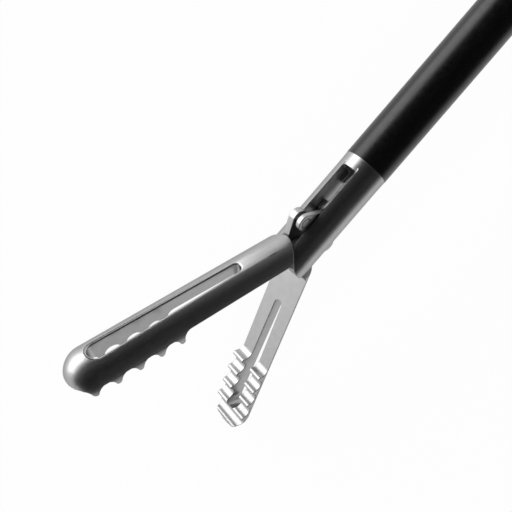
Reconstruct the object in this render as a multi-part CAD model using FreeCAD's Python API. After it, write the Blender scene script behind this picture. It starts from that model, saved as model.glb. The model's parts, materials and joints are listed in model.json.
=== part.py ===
import FreeCAD, Part
import math
import os

# Laparoscopic grasper for a 5 mm port, in millimetres.
# Row frame: X runs along the shaft towards the jaws, with X = 0 at the rotation knob's front face.
# Z is normal to the handle's side, and the finger rings lie on the -Y side.
# The tip is drawn in its own frame, with the jaw pivot at the origin: X distal, Y along the pivot
# pin and Z the opening direction. seat_tip() rolls it about the shaft and moves it into place.

os.makedirs("parts", exist_ok=True)
V = FreeCAD.Vector
X_AXIS = V(1, 0, 0)
Y_AXIS = V(0, 1, 0)
Z_AXIS = V(0, 0, 1)

# Driving sizes: shaft
SHAFT_R = 2.5
WORKING_LENGTH = 330.0
JAW_LENGTH = 25.7
SLEEVE_WALL = 0.28
TUBE_WALL = 0.4
SLEEVE_GAP = 0.02
ROD_R = 0.8
ROD_GAP = 0.1
BUSHING_BACK = 18.0
BUSHING_LENGTH = 8.0

# Driving sizes: tip
TIP_ROLL = 33.7
OPEN_ANGLE = 32.5
YOKE_STEP = 0.05
SLOT_HALF = 0.9
SLOT_ROOM = 0.63
COLLAR_LENGTH = 1.2
COLLAR_TAPER = 1.0
SPIGOT_LENGTH = 6.0
ARM_REACH = 1.7
PIVOT_R = 0.8
RUN_GAP = 0.03
LEAF_GAP = 0.05
TAIL_LENGTH = 3.92
TAIL_ANGLE_OPEN = 48.8
HUB_R = 1.6
KNUCKLE_R = 0.92
TAIL_PIN_R = 0.5
LINK_R = 0.8
ROD_PIN_R = 0.4
BLADE_HALF = 0.25
BLADE_HEIGHT = 0.78
BLADE_LENGTH = 3.2

# Driving sizes: jaws
JAW_STEP = 0.03
NOSE_REACH = 2.6
NOSE_BEND_DEG = 45.0
NOSE_DROP = 0.75
WEB_REACH = 3.6
WINDOW_HALF = 0.68
WINDOW_BACK = 7.3
WINDOW_FROM_TIP = 2.55
FLAT_RECESS = 0.85
FLAT_START = 3.0
FLAT_RAMP = 1.2
TOOTH_PITCH = 2.19
TOOTH_CREST = 0.3
TOOTH_VALLEY = 0.4
CREST_HALF = 0.15
LAST_TOOTH_FROM_TIP = 1.58
TEETH_A = 5

# Driving sizes: knob
KNOB_R = 14.5
KNOB_NOSE_R = 6.5
KNOB_LENGTH = 24.0
KNOB_CONE = 10.5
KNOB_WALL = 4.0
KNOB_FLUTES = 8
FLUTE_R = 5.0
FLUTE_DEPTH = 1.6
JOURNAL_R = 5.0
JOURNAL_GAP = 0.05
JOURNAL_LENGTH = 13.0
TUBE_GRIP = 22.0
SEAL_LENGTH = 2.0
GROOVE_BACK = 3.0
GROOVE_WIDTH = 1.2
GROOVE_DEPTH = 0.8
RING_REACH = 1.6

# Driving sizes: handle
KNOB_FACE_GAP = 0.3
HOUSING_TOP = 11.0
HOUSING_BACK = 21.0
HOUSING_ROUND = 6.0
HOUSING_HALF = 9.0
GRIP_HALF = 5.5
LEVER_HALF = 3.2
LEVER_SIDE_GAP = 0.4
LEVER_BACK = 31.7
LEVER_ARM = 12.0
BALL_R = 3.0
BALL_NECK_R = 1.15
BALL_GAP = 0.05
LEVER_PIN_R = 2.5
EDGE_BREAK = 1.5
RING_WALL = 4.0
FINGER_R = 10.5
THUMB_R = 11.0
HF_PIN_R = 2.0
HF_PIN_LENGTH = 15.0
HF_SHANK_R = 1.5
HF_COLLAR_R = 4.2
HF_COLLAR_HEIGHT = 4.8
PORT_R = 3.0
PORT_STEM_R = 1.6
PORT_BORE_R = 0.9
PORT_HEIGHT = 7.0
CAP_WALL = 1.2
CAP_LIFT = 2.0
SCREW_R = 1.4
SCREW_HEAD_R = 2.8
SCREW_HEAD = 1.5
SCREW_SINK = 0.3
SCREW_GAP = 0.05

# Dependent sizes
PIVOT_X = WORKING_LENGTH - JAW_LENGTH
TUBE_R = SHAFT_R - SLEEVE_WALL - SLEEVE_GAP
TUBE_BORE_R = TUBE_R - TUBE_WALL
YOKE_R = SHAFT_R - YOKE_STEP
JAW_R = YOKE_R - JAW_STEP
TEETH_B = TEETH_A - 1
FIRST_TOOTH_A = JAW_LENGTH - LAST_TOOTH_FROM_TIP - (TEETH_A - 1) * TOOTH_PITCH
TAIL_ANGLE_SHUT = TAIL_ANGLE_OPEN - OPEN_ANGLE
OPEN_RAD = math.radians(OPEN_ANGLE)
HUB_BACK = -KNOB_LENGTH - JOURNAL_LENGTH
HOUSING_FRONT = -KNOB_LENGTH - KNOB_FACE_GAP
LEVER_X = HOUSING_FRONT - LEVER_BACK
FINGER_TOP = (LEVER_X + 9.0, -48.0)
FINGER_LOW = (LEVER_X + 6.0, -72.0)
THUMB_AT = (LEVER_X - 36.0, -60.0)
HF_X = LEVER_X - 6.0
PORT_X = HOUSING_FRONT - 4.7


def rod_pin_x(angle_deg):
    """Distance of the rod pin from the pivot for a tail angle, on the shaft's axis."""
    return -2 * TAIL_LENGTH * math.cos(math.radians(angle_deg))


ROD_PIN_OPEN = rod_pin_x(TAIL_ANGLE_OPEN)
ROD_TRAVEL = ROD_PIN_OPEN - rod_pin_x(TAIL_ANGLE_SHUT)
LEVER_SWING = 2 * math.degrees(math.atan(ROD_TRAVEL / 2 / LEVER_ARM))
BALL_X = LEVER_X + ROD_TRAVEL / 2
SLOT_BACK = rod_pin_x(TAIL_ANGLE_SHUT) - LINK_R - SLOT_HALF - SLOT_ROOM
YOKE_BACK = SLOT_BACK - COLLAR_LENGTH
SHOULDER_X = PIVOT_X + YOKE_BACK


def cyl(radius, start, axis, length):
    """Cylinder from a start point along an axis."""
    return Part.makeCylinder(radius, length, V(*start), axis)


def block(low, high):
    """Box between two corners."""
    size = [b - a for a, b in zip(low, high)]
    return Part.makeBox(size[0], size[1], size[2], V(*low))


def turned(points):
    """Body of revolution about X from a closed outline of (x, radius) points."""
    outline = [V(x, r, 0) for x, r in points]
    outline.append(outline[0])
    return Part.Face(Part.makePolygon(outline)).revolve(V(0, 0, 0), X_AXIS, 360)


def ring(x_start, length, r_out, r_in):
    """Plain ring about X."""
    body = cyl(r_out, (x_start, 0, 0), X_AXIS, length)
    return body.cut(cyl(r_in, (x_start - 1, 0, 0), X_AXIS, length + 2))


def bar_outline(a, ra, b, rb):
    """Outer tangent outline of two circles in a plane, as (point, mid, point) pieces."""
    dx = b[0] - a[0]
    dy = b[1] - a[1]
    span = math.hypot(dx, dy)
    heading = math.atan2(dy, dx)
    lean = math.acos((ra - rb) / span)

    def at(centre, radius, angle):
        return (centre[0] + radius * math.cos(angle), centre[1] + radius * math.sin(angle))

    return {
        "a_left": at(a, ra, heading + lean),
        "a_back": at(a, ra, heading + math.pi),
        "a_right": at(a, ra, heading - lean),
        "b_right": at(b, rb, heading - lean),
        "b_front": at(b, rb, heading),
        "b_left": at(b, rb, heading + lean),
    }


def bar_face(a, ra, b, rb, place):
    """Face of the bar that wraps two circles; place turns a plane point into a vector."""
    o = bar_outline(a, ra, b, rb)
    p = {key: place(point) for key, point in o.items()}
    edges = [
        Part.Arc(p["a_left"], p["a_back"], p["a_right"]).toShape(),
        Part.makeLine(p["a_right"], p["b_right"]),
        Part.Arc(p["b_right"], p["b_front"], p["b_left"]).toShape(),
        Part.makeLine(p["b_left"], p["a_left"]),
    ]
    return Part.Face(Part.Wire(edges))


def leaf(a, ra, b, rb, y_low, y_high):
    """Flat bar in the tip's XZ plane between two Y levels, with round ends."""
    face = bar_face(a, ra, b, rb, lambda q: V(q[0], y_low, q[1]))
    return face.extrude(V(0, y_high - y_low, 0))


def bar(a, ra, b, rb, z_low, z_high):
    """Flat bar in the handle's XY plane between two Z levels, with round ends."""
    face = bar_face(a, ra, b, rb, lambda q: V(q[0], q[1], z_low))
    return face.extrude(V(0, 0, z_high - z_low))


def level_edges(shape, z_levels):
    """Edges that lie wholly at one of the given Z levels."""
    found = []
    for edge in shape.Edges:
        box = edge.BoundBox
        for level in z_levels:
            if abs(box.ZMin - level) < 1e-4 and abs(box.ZMax - level) < 1e-4:
                found.append(edge)
    return found


def softened(shape, z_levels, width):
    """Breaks the outline edges at the given Z levels."""
    return shape.makeChamfer(width, level_edges(shape, z_levels))


def seat_tip(shape):
    """Moves a tip piece from the tip's frame to the row's frame."""
    shape = shape.copy()
    shape.rotate(V(0, 0, 0), X_AXIS, TIP_ROLL)
    shape.translate(V(PIVOT_X, 0, 0))
    return shape


def opened(shape, upper):
    """Turns a shut jaw piece into its open rest pose."""
    shape = shape.copy()
    if not upper:
        shape.rotate(V(0, 0, 0), X_AXIS, 180)
    shape.rotate(V(0, 0, 0), Y_AXIS, -OPEN_ANGLE if upper else OPEN_ANGLE)
    return shape


def tail_point(upper):
    """Open position of a tail pin's centre, as (x, z) in the tip's frame."""
    angle = math.radians(TAIL_ANGLE_OPEN)
    side = -1 if upper else 1
    return (-TAIL_LENGTH * math.cos(angle), side * TAIL_LENGTH * math.sin(angle))


def arm_end_arc():
    """Centre and radius of the arc that ends the yoke's arms."""
    radius = (YOKE_R ** 2 + ARM_REACH ** 2) / (2 * ARM_REACH)
    return ARM_REACH - radius, radius


# Tip

def jaw_inner_outline(first, count):
    """Edges of the jaw's inner side in the XZ plane, from root to nose."""
    points = [(0.0, LEAF_GAP * 2), (FLAT_START, LEAF_GAP * 2)]
    points.append((FLAT_START + FLAT_RAMP, FLAT_RECESS))
    points.append((first - 2 * TOOTH_PITCH / 3, FLAT_RECESS))
    points.append((first - CREST_HALF, -TOOTH_CREST))
    edges = []
    for start, end in zip(points, points[1:]):
        edges.append(Part.makeLine(V(start[0], 0, start[1]), V(end[0], 0, end[1])))
    for k in range(count):
        x = first + k * TOOTH_PITCH
        right = V(x + CREST_HALF, 0, -TOOTH_CREST)
        edges.append(Part.makeLine(V(x - CREST_HALF, 0, -TOOTH_CREST), right))
        if k < count - 1:
            middle = V(x + TOOTH_PITCH / 2, 0, TOOTH_VALLEY)
            left = V(x + TOOTH_PITCH - CREST_HALF, 0, -TOOTH_CREST)
            edges.append(Part.Arc(right, middle, left).toShape())
    last = V(first + (count - 1) * TOOTH_PITCH + CREST_HALF, 0, -TOOTH_CREST)
    nose = V(JAW_LENGTH - NOSE_DROP, 0, LEAF_GAP)
    middle = V((last.x + nose.x) / 2, 0, TOOTH_VALLEY * min(0.95, (nose.x - last.x) / 2))
    edges.append(Part.Arc(last, middle, nose).toShape())
    edges.append(Part.makeLine(nose, V(JAW_LENGTH + 1, 0, LEAF_GAP)))
    return edges


def jaw_envelope():
    """Outer form of a shut jaw: a round bar with a bullet nose."""
    bend = math.radians(NOSE_BEND_DEG)
    bend_x = JAW_LENGTH - NOSE_REACH * (1 - math.sin(bend))
    tip_r = JAW_R / 4
    return turned([
        (0, 0), (0, JAW_R), (JAW_LENGTH - NOSE_REACH, JAW_R), (bend_x, JAW_R * math.cos(bend)),
        (JAW_LENGTH, tip_r), (JAW_LENGTH, 0),
    ])


def jaw_window():
    """Long window through a jaw, with round ends."""
    back = WINDOW_BACK + WINDOW_HALF
    front = JAW_LENGTH - WINDOW_FROM_TIP - WINDOW_HALF
    body = block((back, -WINDOW_HALF, -JAW_R), (front, WINDOW_HALF, 2 * JAW_R))
    for x in (back, front):
        body = body.fuse(cyl(WINDOW_HALF, (x, 0, -JAW_R), Z_AXIS, 3 * JAW_R))
    return body


def make_jaw(upper):
    """Toothed jaw with its window, hub and tail, in the open rest pose."""
    first = FIRST_TOOTH_A if upper else FIRST_TOOTH_A + TOOTH_PITCH / 2
    edges = jaw_inner_outline(first, TEETH_A if upper else TEETH_B)
    top = JAW_R + 1
    end = JAW_LENGTH + 1
    edges.append(Part.makeLine(V(end, 0, LEAF_GAP), V(end, 0, top)))
    edges.append(Part.makeLine(V(end, 0, top), V(0, 0, top)))
    edges.append(Part.makeLine(V(0, 0, top), V(0, 0, LEAF_GAP * 2)))
    side = Part.Face(Part.Wire(edges)).extrude(V(0, 2 * top, 0))
    side.translate(V(0, -top, 0))
    body = side.common(jaw_envelope())
    arc_x, arc_r = arm_end_arc()
    turn = OPEN_RAD
    arc_at = (arc_x * math.cos(turn), -top, -arc_x * math.sin(turn))
    body = body.cut(cyl(arc_r + 2 * LEAF_GAP, arc_at, Y_AXIS, 2 * top))
    body = body.cut(jaw_window())
    y_low = LEAF_GAP
    y_high = SLOT_HALF - LEAF_GAP
    shut = math.radians(TAIL_ANGLE_SHUT)
    pin_at = (-TAIL_LENGTH * math.cos(shut), -TAIL_LENGTH * math.sin(shut))
    web_r = JAW_R / 2 - 2 * LEAF_GAP
    web = leaf((0, 0), HUB_R, (WEB_REACH, web_r + 2 * LEAF_GAP), web_r, y_low, y_high)
    # Past the hub the web stays on its own jaw's side, clear of the other jaw when shut.
    web = web.cut(block((HUB_R - 5 * LEAF_GAP, -1, -2 * HUB_R), (2 * JAW_R, 2, 2 * LEAF_GAP)))
    tail = leaf((0, 0), HUB_R, pin_at, KNUCKLE_R, y_low, y_high)
    body = body.fuse(web).fuse(tail)
    body = body.cut(cyl(PIVOT_R + RUN_GAP, (0, -1, 0), Y_AXIS, 2 * JAW_R))
    body = body.cut(cyl(TAIL_PIN_R, (pin_at[0], -1, pin_at[1]), Y_AXIS, 2 * JAW_R))
    return opened(body.removeSplitter(), upper)


def make_yoke():
    """Clevis that carries the jaws, with its spigot for the tube."""
    spigot_r = TUBE_BORE_R - SLEEVE_GAP
    spigot_x = YOKE_BACK - SPIGOT_LENGTH
    wide = 2 * SHAFT_R
    body = turned([
        (spigot_x, 0), (spigot_x, spigot_r), (YOKE_BACK, spigot_r), (YOKE_BACK, SHAFT_R),
        (YOKE_BACK + COLLAR_TAPER, YOKE_R), (ARM_REACH, YOKE_R), (ARM_REACH, 0),
    ])
    arc_x, arc_r = arm_end_arc()
    rounded = cyl(arc_r, (arc_x, -wide, 0), Y_AXIS, 2 * wide)
    rounded = rounded.fuse(block((spigot_x - 1, -wide, -wide), (0, wide, wide)))
    body = body.common(rounded)
    slot_end = SLOT_BACK + SLOT_HALF
    body = body.cut(block((slot_end, -SLOT_HALF, -wide), (ARM_REACH + 1, SLOT_HALF, wide)))
    body = body.cut(cyl(SLOT_HALF, (slot_end, 0, -wide), Z_AXIS, 2 * wide))
    body = body.cut(cyl(ROD_R + ROD_GAP, (spigot_x - 1, 0, 0), X_AXIS, slot_end - spigot_x + 1))
    return body.cut(cyl(PIVOT_R, (0, -wide, 0), Y_AXIS, 2 * wide))


def make_pivot_pin():
    """Pin pressed through both arms, with ends dressed flush to the yoke."""
    pin = cyl(PIVOT_R, (0, -SHAFT_R, 0), Y_AXIS, 2 * SHAFT_R)
    return pin.common(cyl(YOKE_R, (-SHAFT_R, 0, 0), X_AXIS, 2 * SHAFT_R))


def make_tail_pin(upper):
    """Flush rivet that joins a jaw's tail to its link."""
    x, z = tail_point(upper)
    reach = SLOT_HALF - LEAF_GAP
    return cyl(TAIL_PIN_R, (x, -reach, z), Y_AXIS, 2 * reach)


def make_link(upper):
    """Link from a tail pin to the rod pin."""
    x, z = tail_point(upper)
    low = BLADE_HALF + LEAF_GAP
    high = SLOT_HALF - LEAF_GAP
    if upper:
        low, high = -high, -low
    body = leaf((x, z), KNUCKLE_R, (ROD_PIN_OPEN, 0), LINK_R, low, high)
    body = body.cut(cyl(TAIL_PIN_R + RUN_GAP, (x, -2, z), Y_AXIS, 4))
    hole = ROD_PIN_R if upper else ROD_PIN_R + RUN_GAP
    return body.cut(cyl(hole, (ROD_PIN_OPEN, -2, 0), Y_AXIS, 4))


def make_rod_pin():
    """Pin through both links and the rod's slotted end."""
    reach = SLOT_HALF - LEAF_GAP
    return cyl(ROD_PIN_R, (ROD_PIN_OPEN, -reach, 0), Y_AXIS, 2 * reach)


def rod_slot_span():
    """Furthest the rod pin lags and leads the evenly moving rod over one stroke."""
    lags = []
    for step in range(41):
        share = step / 40
        pin = rod_pin_x(TAIL_ANGLE_OPEN - OPEN_ANGLE * share)
        rod = ROD_PIN_OPEN - ROD_TRAVEL * share
        lags.append(pin - rod)
    return min(lags) - RUN_GAP, max(lags) + RUN_GAP


def make_pull_rod():
    """Long rod with a flat, slotted end and a turned neck for the ball."""
    blade_back = ROD_PIN_OPEN - BLADE_LENGTH
    start = BALL_X - PIVOT_X
    body = cyl(ROD_R, (start, 0, 0), X_AXIS, blade_back - start)
    root = blade_back - BLADE_HEIGHT
    blade = block((root, -BLADE_HALF, -BLADE_HEIGHT), (ROD_PIN_OPEN, BLADE_HALF, BLADE_HEIGHT))
    tip = cyl(BLADE_HEIGHT, (ROD_PIN_OPEN, -BLADE_HALF, 0), Y_AXIS, 2 * BLADE_HALF)
    body = body.fuse(blade).fuse(tip)
    low, high = rod_slot_span()
    half = ROD_PIN_R + RUN_GAP
    slot = block((ROD_PIN_OPEN + low, -1, -half), (ROD_PIN_OPEN + high, 1, half))
    for shift in (low, high):
        slot = slot.fuse(cyl(half, (ROD_PIN_OPEN + shift, -1, 0), Y_AXIS, 2))
    return body.cut(slot)


# Shaft

def make_inner_tube():
    """Stainless tube from the knob's hub to the yoke's shoulder."""
    return ring(-TUBE_GRIP, SHOULDER_X + TUBE_GRIP, TUBE_R, TUBE_BORE_R)


def make_insulation():
    """Black insulating sleeve over the tube, from the knob's face to the yoke's shoulder."""
    return ring(0, SHOULDER_X, SHAFT_R, TUBE_R + SLEEVE_GAP)


def make_rod_bushing():
    """Plastic guide that centres the rod in the tube behind the yoke."""
    return ring(SHOULDER_X - BUSHING_BACK, BUSHING_LENGTH, TUBE_BORE_R - SLEEVE_GAP, ROD_R + RUN_GAP)


# Knob

def make_rotation_knob():
    """Fluted knob that turns the tip."""
    body = turned([
        (-KNOB_LENGTH, 0), (-KNOB_LENGTH, KNOB_R), (-KNOB_CONE, KNOB_R), (0, KNOB_NOSE_R), (0, 0),
    ])
    for k in range(KNOB_FLUTES):
        angle = 2 * math.pi * k / KNOB_FLUTES
        reach = KNOB_R + FLUTE_R - FLUTE_DEPTH
        start = (-KNOB_LENGTH - 1, reach * math.cos(angle), reach * math.sin(angle))
        body = body.cut(cyl(FLUTE_R, start, X_AXIS, KNOB_LENGTH + 2))
    body = body.cut(cyl(TUBE_R + SLEEVE_GAP, (-KNOB_LENGTH - 1, 0, 0), X_AXIS, KNOB_LENGTH + 2))
    return body.cut(cyl(JOURNAL_R, (-KNOB_LENGTH - 1, 0, 0), X_AXIS, KNOB_LENGTH - KNOB_WALL + 1))


def make_knob_hub():
    """Stainless hub: holds the tube in the knob and turns in the handle's front bore."""
    length = JOURNAL_LENGTH + KNOB_LENGTH - KNOB_WALL
    body = ring(HUB_BACK, length, JOURNAL_R, TUBE_R + SLEEVE_GAP)
    return body.cut(ring(HUB_BACK + GROOVE_BACK, GROOVE_WIDTH, JOURNAL_R + 1, JOURNAL_R - GROOVE_DEPTH))


def make_retaining_ring():
    """Open ring in the hub's groove, behind the handle's front wall."""
    start = HUB_BACK + GROOVE_BACK + LEAF_GAP
    inner = JOURNAL_R - GROOVE_DEPTH + LEAF_GAP
    body = ring(start, GROOVE_WIDTH - 2 * LEAF_GAP, JOURNAL_R + RING_REACH, inner)
    return body.cut(block((start - 1, -1.5, 0), (start + GROOVE_WIDTH + 1, 1.5, 2 * JOURNAL_R)))


def make_shaft_seal():
    """Silicone seal around the rod, in the rear end of the hub's bore."""
    return ring(HUB_BACK, SEAL_LENGTH, TUBE_R, ROD_R + RUN_GAP)


# Handle

def housing_blank(z_high):
    """Housing block of one handle half, with its outer edge rounded."""
    back = LEVER_X - HOUSING_BACK + HOUSING_ROUND
    front = HOUSING_FRONT - HOUSING_ROUND
    top = HOUSING_TOP - HOUSING_ROUND
    low = -LEVER_ARM - 1
    centres = [(back, top), (front, top), (front, low + 4), (LEVER_X + 18, low), (LEVER_X - 6, low)]
    centres.append((back, low + 7))
    outline = [V(x, y, 0) for x, y in centres]
    outline.append(outline[0])
    face = Part.Face(Part.makePolygon(outline)).makeOffset2D(HOUSING_ROUND)
    return softened(face.extrude(V(0, 0, z_high)), [z_high], EDGE_BREAK)


def front_grip(z_high):
    """Fixed stem and finger ring of one handle half."""
    stem_top = (LEVER_X + 17, 1 - LEVER_ARM)
    stem = bar(stem_top, 8, (FINGER_TOP[0] + 2, FINGER_TOP[1] + 10), 7, 0, z_high)
    stem = softened(stem, [z_high], EDGE_BREAK)
    wall = FINGER_R + RING_WALL
    loop = softened(bar(FINGER_TOP, wall, FINGER_LOW, wall, 0, z_high), [z_high], EDGE_BREAK)
    hole = bar(FINGER_TOP, FINGER_R, FINGER_LOW, FINGER_R, -1, z_high + 1)
    x, y = FINGER_LOW
    spur = bar((x + FINGER_R + 1.5, y - 6), 3.6, (x + 2 * FINGER_R, y - 11), 2.8, 0, z_high)
    return stem.cut(hole).fuse(loop.cut(hole)).fuse(spur.cut(hole))


def screw_places():
    """Name, x, y and outer level of each handle screw."""
    grip_y = FINGER_TOP[1] + FINGER_R + SCREW_HEAD_R + 2.7
    return [
        ("screw_front", LEVER_X + 19.0, -LEVER_ARM - 1.0, HOUSING_HALF),
        ("screw_rear", LEVER_X - 16.5, 2.0, HOUSING_HALF),
        ("screw_grip", LEVER_X + 11.5, grip_y, GRIP_HALF),
    ]


def handle_cavities():
    """Everything taken out of both handle halves: bore, ring pocket, lever pocket and holes."""
    ring_front = HUB_BACK + GROOVE_BACK + GROOVE_WIDTH + 0.4
    pocket_back = HUB_BACK - 1.4
    cut = cyl(JOURNAL_R + JOURNAL_GAP, (ring_front - 1, 0, 0), X_AXIS, JOURNAL_LENGTH)
    pocket_r = JOURNAL_R + RING_REACH + 0.6
    cut = cut.fuse(cyl(pocket_r, (pocket_back, 0, 0), X_AXIS, ring_front - pocket_back))
    cut = cut.fuse(cyl(BALL_NECK_R + 0.85, (LEVER_X, 0, 0), X_AXIS, HOUSING_FRONT - LEVER_X - 4))
    half = LEVER_HALF + LEVER_SIDE_GAP
    low = -2 * LEVER_ARM
    corners = [(10, HOUSING_TOP - 3), (-11, HOUSING_TOP - 3), (-17, low), (9, low), (9, -8)]
    outline = [V(LEVER_X + x, y, -half) for x, y in corners]
    outline.append(outline[0])
    cut = cut.fuse(Part.Face(Part.makePolygon(outline)).extrude(V(0, 0, 2 * half)))
    deep = 2 * HOUSING_HALF
    lever_pin = cyl(LEVER_PIN_R + SLEEVE_GAP, (LEVER_X, -LEVER_ARM, -deep), Z_AXIS, 2 * deep)
    hf_hole = cyl(HF_SHANK_R + SLEEVE_GAP, (HF_X, HOUSING_TOP - 4, 0), Y_AXIS, 10)
    port_hole = cyl(PORT_STEM_R + SLEEVE_GAP, (PORT_X, HOUSING_TOP - 8, 0), Y_AXIS, 12)
    return cut.fuse(lever_pin).fuse(hf_hole).fuse(port_hole)


def make_shell(right):
    """One half of the handle: housing wall, front bore half and finger ring half."""
    body = housing_blank(HOUSING_HALF).fuse(front_grip(GRIP_HALF))
    if not right:
        body = body.mirror(V(0, 0, 0), Z_AXIS)
    body = body.cut(handle_cavities())
    for name, x, y, level in screw_places():
        seat = level - SCREW_SINK - SCREW_HEAD
        body = body.cut(cyl(SCREW_R + SCREW_GAP, (x, y, 2.5 - level), Z_AXIS, 2 * level))
        body = body.cut(cyl(SCREW_HEAD_R + SCREW_GAP, (x, y, seat), Z_AXIS, level))
    return body.removeSplitter()


def make_screw(x, y, level):
    """Flat-headed screw from the right shell into the left."""
    seat = level - SCREW_SINK - SCREW_HEAD
    shank = cyl(SCREW_R, (x, y, 3 - level), Z_AXIS, seat + level - 3)
    return shank.fuse(cyl(SCREW_HEAD_R, (x, y, seat), Z_AXIS, SCREW_HEAD))


def make_lever_pin():
    """Pivot pin of the thumb lever, flush with both shells."""
    reach = HOUSING_HALF - SCREW_SINK
    return cyl(LEVER_PIN_R, (LEVER_X, -LEVER_ARM, -reach), Z_AXIS, 2 * reach)


def make_thumb_lever():
    """Thumb lever with its fork for the ball, drawn at mid stroke and turned to rest."""
    fork_r = 2 * BALL_R
    knee = (LEVER_X - 14, -33)
    top = bar((LEVER_X, -LEVER_ARM), fork_r + 0.5, (LEVER_X, -0.5), fork_r, -LEVER_HALF, LEVER_HALF)
    neck = bar((LEVER_X - 1, -LEVER_ARM - 2), fork_r, knee, 5.5, -LEVER_HALF, LEVER_HALF)
    body = top.fuse(neck)
    wall = THUMB_R + RING_WALL
    deep = 2 * GRIP_HALF
    loop = cyl(wall, (THUMB_AT[0], THUMB_AT[1], -GRIP_HALF), Z_AXIS, deep)
    hole = cyl(THUMB_R, (THUMB_AT[0], THUMB_AT[1], -deep), Z_AXIS, 2 * deep)
    ring_side = (THUMB_AT[0] + THUMB_R - 2, THUMB_AT[1] + THUMB_R)
    stem = bar(knee, 5.5, ring_side, 5.0, -GRIP_HALF, GRIP_HALF)
    levels = [-GRIP_HALF, GRIP_HALF]
    loop = softened(loop, levels, EDGE_BREAK).cut(hole)
    stem = softened(stem, levels, EDGE_BREAK).cut(hole)
    body = body.fuse(stem).fuse(loop)
    width = BALL_R + BALL_GAP
    body = body.cut(block((LEVER_X - width, -BALL_R - 0.4, -deep), (LEVER_X + width, LEVER_ARM, deep)))
    neck_half = BALL_NECK_R + 0.35
    body = body.cut(block((LEVER_X, -BALL_NECK_R - 1.25, -neck_half), (LEVER_X + 12, 12, neck_half)))
    body = body.cut(cyl(LEVER_PIN_R + RUN_GAP, (LEVER_X, -LEVER_ARM, -deep), Z_AXIS, 2 * deep))
    body = body.removeSplitter()
    body.rotate(V(LEVER_X, -LEVER_ARM, 0), Z_AXIS, -LEVER_SWING / 2)
    return body


def make_rod_ball():
    """Bead on the rod's rear end, held in the lever's fork."""
    half = BALL_R * 0.35
    end_r = BALL_R * 0.6
    body = turned([
        (BALL_X - BALL_R * 0.9, 0), (BALL_X - BALL_R * 0.9, end_r), (BALL_X - half, BALL_R),
        (BALL_X + half, BALL_R), (BALL_X + BALL_R * 0.9, BALL_NECK_R), (BALL_X + 5.5, BALL_NECK_R),
        (BALL_X + 5.5, 0),
    ])
    return body.cut(cyl(ROD_R, (BALL_X, 0, 0), X_AXIS, 12))


def make_hf_collar():
    """Insulating collar around the foot of the high-frequency connector."""
    body = cyl(HF_COLLAR_R, (HF_X, HOUSING_TOP, 0), Y_AXIS, HF_COLLAR_HEIGHT)
    hole_r = HF_SHANK_R + SLEEVE_GAP
    return body.cut(cyl(hole_r, (HF_X, HOUSING_TOP - 1, 0), Y_AXIS, HF_COLLAR_HEIGHT + 2))


def make_hf_pin():
    """Connector pin for the high-frequency lead."""
    base = HOUSING_TOP + HF_COLLAR_HEIGHT
    shank = cyl(HF_SHANK_R, (HF_X, HOUSING_TOP - 2.6, 0), Y_AXIS, HF_COLLAR_HEIGHT + 3)
    body = cyl(HF_PIN_R, (HF_X, base, 0), Y_AXIS, HF_PIN_LENGTH)
    tip = Part.makeCone(HF_PIN_R, HF_PIN_R - 0.6, 1.0, V(HF_X, base + HF_PIN_LENGTH, 0), Y_AXIS)
    return shank.fuse(body).fuse(tip)


def make_flush_port():
    """Luer port for rinsing the shaft."""
    body = cyl(PORT_R, (PORT_X, HOUSING_TOP, 0), Y_AXIS, PORT_HEIGHT)
    body = body.fuse(cyl(PORT_STEM_R, (PORT_X, HOUSING_TOP - 4, 0), Y_AXIS, 5.0))
    return body.cut(cyl(PORT_BORE_R, (PORT_X, HOUSING_TOP - 5, 0), Y_AXIS, PORT_HEIGHT + 7))


def make_flush_cap():
    """Silicone cap on the luer port."""
    base = HOUSING_TOP + CAP_LIFT
    deep = PORT_HEIGHT - CAP_LIFT
    body = cyl(PORT_R + CAP_WALL, (PORT_X, base, 0), Y_AXIS, deep + CAP_WALL)
    return body.cut(cyl(PORT_R, (PORT_X, base - 1, 0), Y_AXIS, deep + 1))


def save(name, shape):
    """Writes one node."""
    shape.exportStep("parts/" + name + ".step")


save("jaw_a", seat_tip(make_jaw(True)))
save("jaw_b", seat_tip(make_jaw(False)))
save("yoke", seat_tip(make_yoke()))
save("pivot_pin", seat_tip(make_pivot_pin()))
save("tail_pin_a", seat_tip(make_tail_pin(True)))
save("tail_pin_b", seat_tip(make_tail_pin(False)))
save("link_a", seat_tip(make_link(True)))
save("link_b", seat_tip(make_link(False)))
save("rod_pin", seat_tip(make_rod_pin()))
save("pull_rod", seat_tip(make_pull_rod()))
save("inner_tube", make_inner_tube())
save("insulation_sleeve", make_insulation())
save("rod_bushing", make_rod_bushing())
save("rotation_knob", make_rotation_knob())
save("knob_hub", make_knob_hub())
save("retaining_ring", make_retaining_ring())
save("shaft_seal", make_shaft_seal())
save("shell_left", make_shell(False))
save("shell_right", make_shell(True))
for name, x, y, level in screw_places():
    save(name, make_screw(x, y, level))
save("lever_pin", make_lever_pin())
save("thumb_lever", make_thumb_lever())
save("rod_ball", make_rod_ball())
save("hf_collar", make_hf_collar())
save("hf_pin", make_hf_pin())
save("flush_port", make_flush_port())
save("flush_cap", make_flush_cap())
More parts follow.
